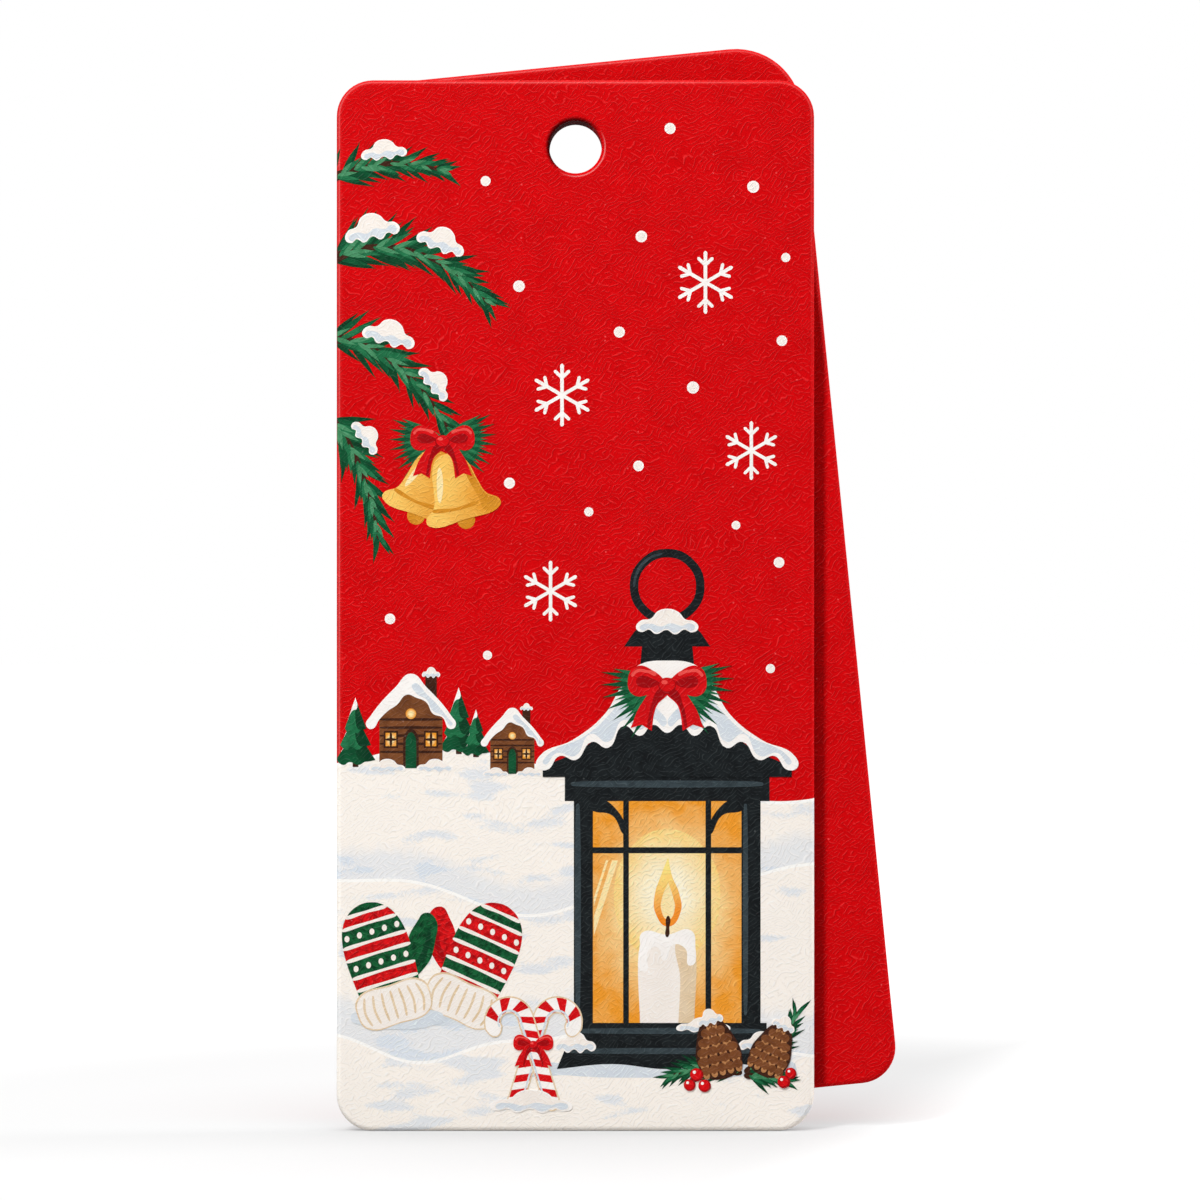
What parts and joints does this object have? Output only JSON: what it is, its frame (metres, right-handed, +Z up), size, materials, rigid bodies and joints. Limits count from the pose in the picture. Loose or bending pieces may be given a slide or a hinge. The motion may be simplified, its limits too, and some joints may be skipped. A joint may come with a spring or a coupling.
{
  "type": "gift tag",
  "caption": "Gift tag of thick laminated board: a printed front leaf over a plain back leaf, both round-cornered with rolled edges, swivelling about their shared punched hanging hole.",
  "frame": {"origin": "on the axis of the hanging hole, midway between the two leaves", "axes": "+Z up along the tag's length, +X to the right across its width, +Y from the printed front to the back"},
  "size_m": [0.0587, 0.0042, 0.1136],
  "materials": {
    "printed_paper": "matt uncoated fibre paper with a printed picture",
    "plain_paper": "matt uncoated red fibre paper",
    "dyed_board": "matt board dyed through, cut edge"
  },
  "bodies": {
    "front_leaf": {"front_face_sheet": "printed_paper", "front_core_board": "dyed_board", "front_back_sheet": "plain_paper"},
    "back_leaf": {"back_face_sheet": "plain_paper", "back_core_board": "dyed_board", "back_back_sheet": "plain_paper"}
  },
  "joints": [
    {"name": "back_leaf_swing", "type": "hinge", "parent": "front_leaf", "child": "back_leaf", "pos_m": [0, 0, 0], "axis": [0, -1, 0], "continuous": true}
  ]
}
